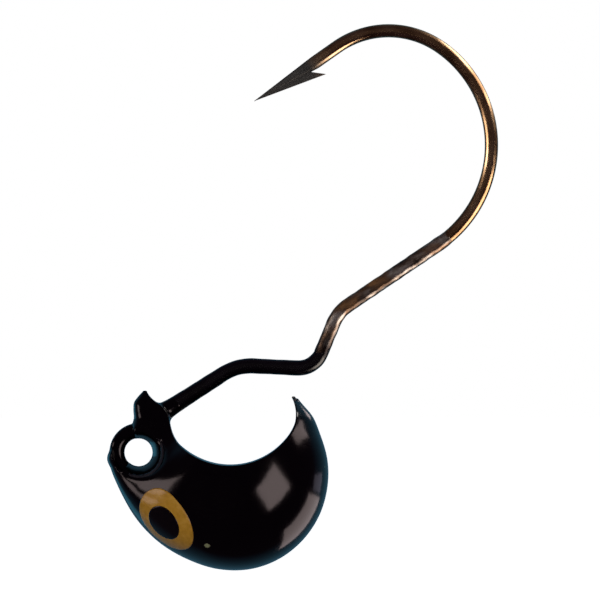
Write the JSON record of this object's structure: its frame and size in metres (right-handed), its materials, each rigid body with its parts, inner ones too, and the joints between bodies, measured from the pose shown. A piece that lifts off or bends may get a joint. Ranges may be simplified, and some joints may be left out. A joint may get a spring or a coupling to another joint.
{
  "type": "jig head",
  "caption": "Fishing jig head: a painted crescent-shaped lead head cast on a wide-gap hook with a kinked shank and a line-tie ring at the nose.",
  "frame": {"origin": "centre of the line-tie ring, in the plane of the wire", "axes": "+X from the ring along the head; +Z from the head's belly towards its horns and the hook; +Y across the head, along the ring's hole. The wire lies in the plane Y = 0."},
  "size_m": [0.0293, 0.0118, 0.041],
  "materials": {
    "hook_steel": "dark bronze plating, satin",
    "lead": "dull cast lead, hidden under the paint",
    "head_paint": "black gloss powder paint",
    "ring_paint": "black gloss powder paint",
    "shank_paint": "black paint, thinning along the wire",
    "overspray": "thin mottled overspray",
    "iris_paint": "gold eye paint, gloss",
    "pupil_paint": "black eye paint, gloss"
  },
  "bodies": {
    "root": {"hook": "hook_steel", "lead_head": "lead", "head_paint": "head_paint", "line_tie_paint": "ring_paint", "shank_paint": "shank_paint", "shank_overspray": "overspray", "left_iris": "iris_paint", "left_pupil": "pupil_paint", "right_iris": "iris_paint", "right_pupil": "pupil_paint"}
  },
  "joints": []
}
